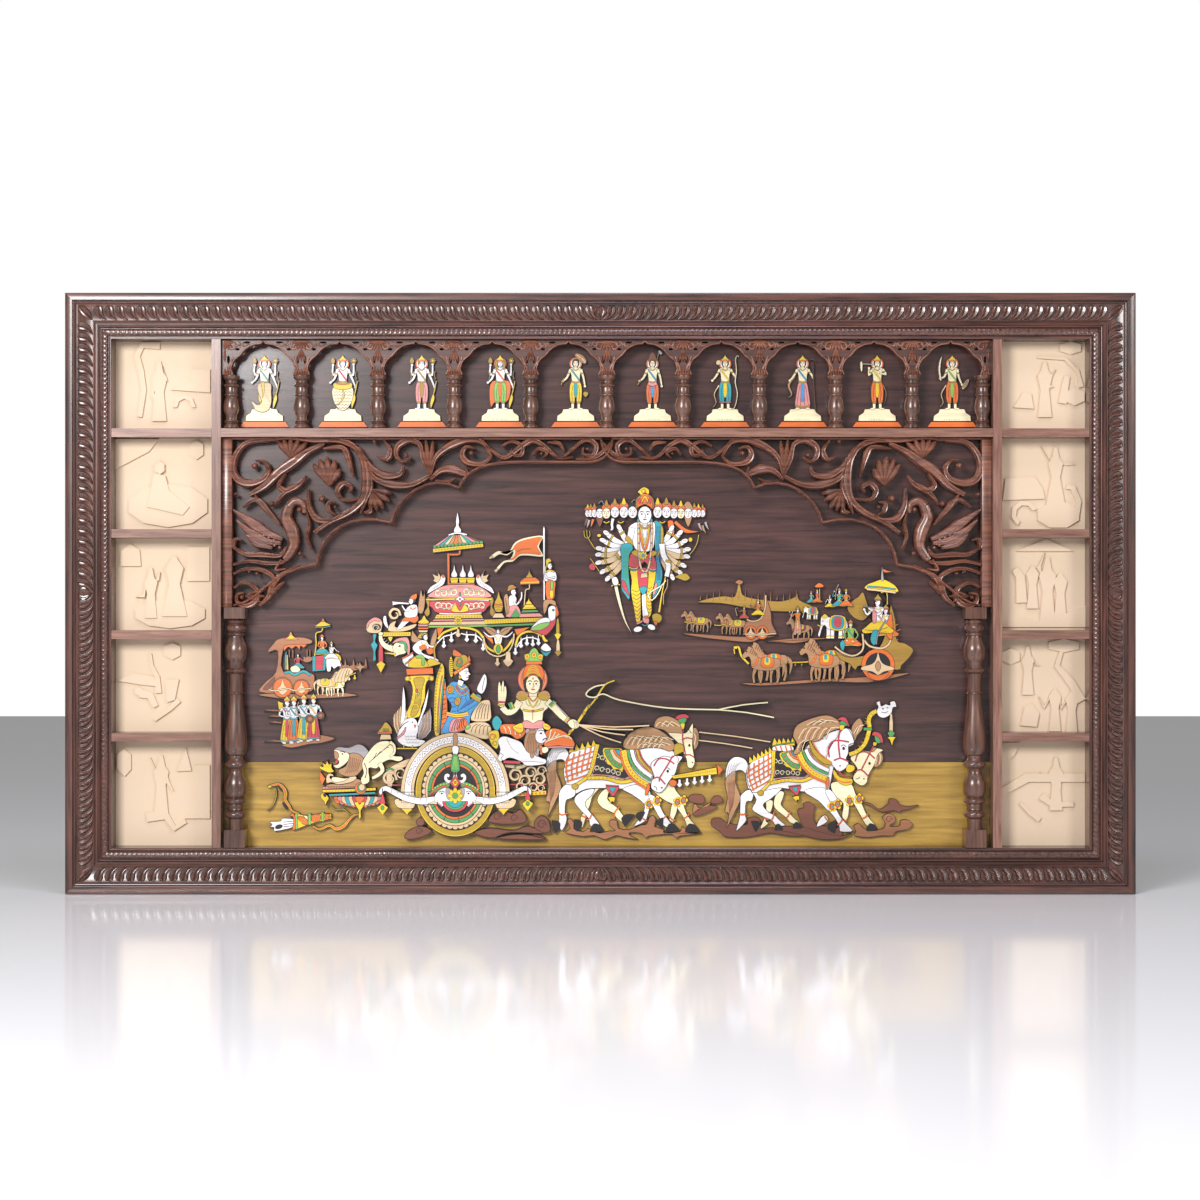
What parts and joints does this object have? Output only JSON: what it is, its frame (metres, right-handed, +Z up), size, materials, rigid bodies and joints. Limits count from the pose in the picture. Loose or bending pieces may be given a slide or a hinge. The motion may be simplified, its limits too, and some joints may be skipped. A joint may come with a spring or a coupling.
{
  "type": "wood inlay panel",
  "caption": "Carved rosewood wall panel with a moulded frame, turned columns, an openwork arch, a row of niches and side pictures around a raised wood inlay of a horse-drawn chariot.",
  "frame": {"origin": "centre of the flat back, which lies on the wall", "axes": "+X along the length to the viewer's right, +Z up, -Y out of the wall towards the viewer"},
  "size_m": [2.144, 0.066, 1.204],
  "materials": {
    "frame_rosewood": "dark rosewood, carved and lacquered",
    "divider_rosewood": "plain rosewood strips, satin lacquer",
    "turned_rosewood": "turned rosewood, lacquered",
    "carved_rosewood": "openwork rosewood carving, lacquered",
    "field_rosewood": "streaked rosewood veneer, polished",
    "yellow_wood": "yellow wood veneer, polished",
    "niche_inlay": "pale and stained inlay woods with dark outlines",
    "picture_inlay": "stained inlay woods on dark veneer",
    "scene_inlay": "white and stained inlay woods in raised layers with dark outlines"
  },
  "bodies": {
    "root": {"backing_board": "field_rosewood", "ground_strip": "yellow_wood", "frame_top": "frame_rosewood", "frame_bottom": "frame_rosewood", "frame_left": "frame_rosewood", "frame_right": "frame_rosewood", "post_left": "divider_rosewood", "shelf_left_1": "divider_rosewood", "shelf_left_2": "divider_rosewood", "shelf_left_3": "divider_rosewood", "shelf_left_4": "divider_rosewood", "column_left": "turned_rosewood", "spandrel_left": "carved_rosewood", "post_right": "divider_rosewood", "shelf_right_1": "divider_rosewood", "shelf_right_2": "divider_rosewood", "shelf_right_3": "divider_rosewood", "shelf_right_4": "divider_rosewood", "column_right": "turned_rosewood", "spandrel_right": "carved_rosewood", "long_rail": "divider_rosewood", "niche_arcade": "carved_rosewood", "niche_column_1": "turned_rosewood", "niche_column_2": "turned_rosewood", "niche_column_3": "turned_rosewood", "niche_column_4": "turned_rosewood", "niche_column_5": "turned_rosewood", "niche_column_6": "turned_rosewood", "niche_column_7": "turned_rosewood", "niche_column_8": "turned_rosewood", "niche_column_9": "turned_rosewood", "niche_column_10": "turned_rosewood", "niche_column_11": "turned_rosewood", "niche_figure_1": "niche_inlay", "niche_figure_2": "niche_inlay", "niche_figure_3": "niche_inlay", "niche_figure_4": "niche_inlay", "niche_figure_5": "niche_inlay", "niche_figure_6": "niche_inlay", "niche_figure_7": "niche_inlay", "niche_figure_8": "niche_inlay", "niche_figure_9": "niche_inlay", "niche_figure_10": "niche_inlay", "cell_left_1": "picture_inlay", "cell_left_2": "picture_inlay", "cell_left_3": "picture_inlay", "cell_left_4": "picture_inlay", "cell_left_5": "picture_inlay", "cell_right_1": "picture_inlay", "cell_right_2": "picture_inlay", "cell_right_3": "picture_inlay", "cell_right_4": "picture_inlay", "cell_right_5": "picture_inlay", "chariot": "scene_inlay", "rear_horses": "scene_inlay", "lead_horses": "scene_inlay", "many_armed_figure": "scene_inlay", "army_left": "scene_inlay", "army_right": "scene_inlay", "bow_and_quiver": "scene_inlay"}
  },
  "joints": []
}
